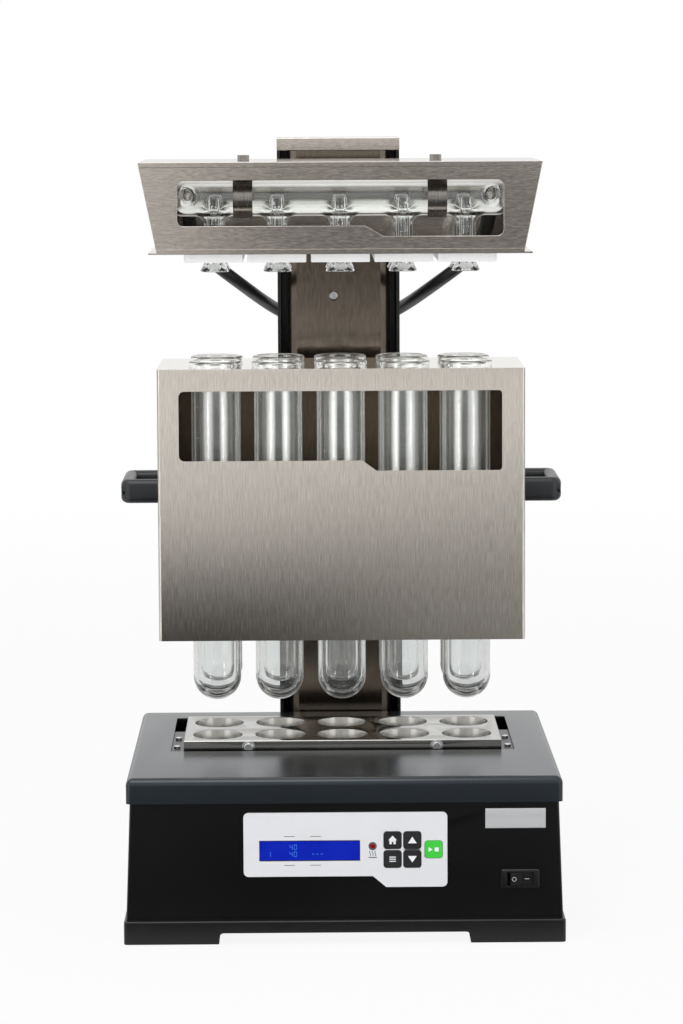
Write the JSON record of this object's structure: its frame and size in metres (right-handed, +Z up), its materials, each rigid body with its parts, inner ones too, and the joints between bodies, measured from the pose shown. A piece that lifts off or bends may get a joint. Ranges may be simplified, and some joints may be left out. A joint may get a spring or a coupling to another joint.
{
  "type": "digestion block",
  "caption": "Laboratory digestion block: heated well block in a control base, motor lift, rack of glass tubes and a fume hood with a glass manifold and hoses.",
  "frame": {"origin": "under the middle of the object's bounding box, on the standing surface", "axes": "+Z up along the column, the control panel faces -Y, +X to the viewer's right"},
  "size_m": [0.386, 0.398, 0.673],
  "materials": {
    "black_enamel": "glossy black enamel",
    "slate_enamel": "satin slate grey enamel",
    "machined_aluminium": "bright machined",
    "heater_metal": "dull cast",
    "insulation_fibre": "pressed mineral fibre",
    "bright_zinc": "bright plated",
    "probe_steel": "ground rod",
    "board_laminate": "glass fibre laminate",
    "overlay_grey": "pale grey overlay",
    "display_blue": "backlit blue display",
    "lens_red": "clear red lens",
    "key_black": "soft black key",
    "start_green": "soft green key",
    "badge_silver": "bare satin plate",
    "switch_black": "moulded black",
    "brushed_steel": "vertical brushed grain",
    "cast_aluminium": "grey anodised",
    "handle_polymer": "slate black moulded",
    "clear_glass": "clear borosilicate",
    "seal_white": "white fluoropolymer",
    "hose_rubber": "soft black rubber",
    "junction_plastic": "black moulded"
  },
  "bodies": {
    "base": {"base_plinth": "handle_polymer", "base_housing": "black_enamel", "rear_panel": "black_enamel", "top_cover": "slate_enamel", "heating_block": "machined_aluminium", "heater_plate": "heater_metal", "insulation": "insulation_fibre", "block_brackets": "bright_zinc", "block_screws": "bright_zinc", "temperature_probe": "probe_steel", "control_board": "board_laminate", "control_overlay": "overlay_grey", "display": "display_blue", "status_lens": "lens_red", "badge_plate": "badge_silver", "switch_bezel": "switch_black", "power_inlet": "switch_black", "column_foot": "cast_aluminium", "column_housing": "black_enamel", "column_front": "brushed_steel", "column_cap": "brushed_steel", "column_screw": "bright_zinc", "rod_blocks": "cast_aluminium", "guide_rods": "probe_steel", "lift_actuator": "cast_aluminium", "hose_junction": "junction_plastic"},
    "lift_carriage": {"actuator_rod": "probe_steel", "lift_carriage": "cast_aluminium"},
    "rack": {"rack_shell": "brushed_steel", "rack_back": "brushed_steel", "rack_top": "brushed_steel", "rack_guide": "brushed_steel", "rack_handles": "handle_polymer", "handle_screws": "bright_zinc"},
    "hood": {"hood_carriage": "cast_aluminium", "hood_shell": "brushed_steel", "hood_top": "brushed_steel", "hood_back": "brushed_steel", "hood_base": "brushed_steel", "glass_manifold": "clear_glass", "manifold_clips": "brushed_steel", "tube_seals": "seal_white", "glass_funnels": "clear_glass", "exhaust_hoses": "hose_rubber"},
    "rocker": {"power_rocker": "switch_black"},
    "tube_1": {"tube_1": "clear_glass"},
    "tube_2": {"tube_2": "clear_glass"},
    "tube_3": {"tube_3": "clear_glass"},
    "tube_4": {"tube_4": "clear_glass"},
    "tube_5": {"tube_5": "clear_glass"},
    "tube_6": {"tube_6": "clear_glass"},
    "tube_7": {"tube_7": "clear_glass"},
    "tube_8": {"tube_8": "clear_glass"},
    "tube_9": {"tube_9": "clear_glass"},
    "tube_10": {"tube_10": "clear_glass"},
    "home_key": {"home_key": "key_black"},
    "up_key": {"up_key": "key_black"},
    "set_key": {"set_key": "key_black"},
    "down_key": {"down_key": "key_black"},
    "start_key": {"start_key": "start_green"}
  },
  "joints": [
    {"name": "lift", "type": "slide", "parent": "base", "child": "lift_carriage", "axis": [0, 0, 1], "range_m": [-0.085, 0]},
    {"name": "rack_lift_off", "type": "slide", "parent": "lift_carriage", "child": "rack", "axis": [0, 0, 1], "range_m": [0, 0.02]},
    {"name": "hood_lift", "type": "slide", "parent": "base", "child": "hood", "axis": [0, 0, 1], "range_m": [-0.0865, 0], "deforming": ["exhaust_hoses"]},
    {"name": "power_rocker_turn", "type": "hinge", "parent": "base", "child": "rocker", "pos_m": [0.14785, -0.1885, 0.0538], "axis": [0, 0, 1], "range_deg": [-16, 0]},
    {"name": "tube_1_lift_out", "type": "slide", "parent": "rack", "child": "tube_1", "axis": [0, 0, 1], "range_m": [0, 0.05]},
    {"name": "tube_2_lift_out", "type": "slide", "parent": "rack", "child": "tube_2", "axis": [0, 0, 1], "range_m": [0, 0.05]},
    {"name": "tube_3_lift_out", "type": "slide", "parent": "rack", "child": "tube_3", "axis": [0, 0, 1], "range_m": [0, 0.05]},
    {"name": "tube_4_lift_out", "type": "slide", "parent": "rack", "child": "tube_4", "axis": [0, 0, 1], "range_m": [0, 0.05]},
    {"name": "tube_5_lift_out", "type": "slide", "parent": "rack", "child": "tube_5", "axis": [0, 0, 1], "range_m": [0, 0.05]},
    {"name": "tube_6_lift_out", "type": "slide", "parent": "rack", "child": "tube_6", "axis": [0, 0, 1], "range_m": [0, 0.05]},
    {"name": "tube_7_lift_out", "type": "slide", "parent": "rack", "child": "tube_7", "axis": [0, 0, 1], "range_m": [0, 0.05]},
    {"name": "tube_8_lift_out", "type": "slide", "parent": "rack", "child": "tube_8", "axis": [0, 0, 1], "range_m": [0, 0.05]},
    {"name": "tube_9_lift_out", "type": "slide", "parent": "rack", "child": "tube_9", "axis": [0, 0, 1], "range_m": [0, 0.05]},
    {"name": "tube_10_lift_out", "type": "slide", "parent": "rack", "child": "tube_10", "axis": [0, 0, 1], "range_m": [0, 0.05]},
    {"name": "home_key_press", "type": "slide", "parent": "base", "child": "home_key", "axis": [0, 1, 0], "range_m": [0, 0.0004], "stiffness_N_per_m": 500},
    {"name": "up_key_press", "type": "slide", "parent": "base", "child": "up_key", "axis": [0, 1, 0], "range_m": [0, 0.0004], "stiffness_N_per_m": 500},
    {"name": "set_key_press", "type": "slide", "parent": "base", "child": "set_key", "axis": [0, 1, 0], "range_m": [0, 0.0004], "stiffness_N_per_m": 500},
    {"name": "down_key_press", "type": "slide", "parent": "base", "child": "down_key", "axis": [0, 1, 0], "range_m": [0, 0.0004], "stiffness_N_per_m": 500},
    {"name": "start_key_press", "type": "slide", "parent": "base", "child": "start_key", "axis": [0, 1, 0], "range_m": [0, 0.0004], "stiffness_N_per_m": 500}
  ]
}
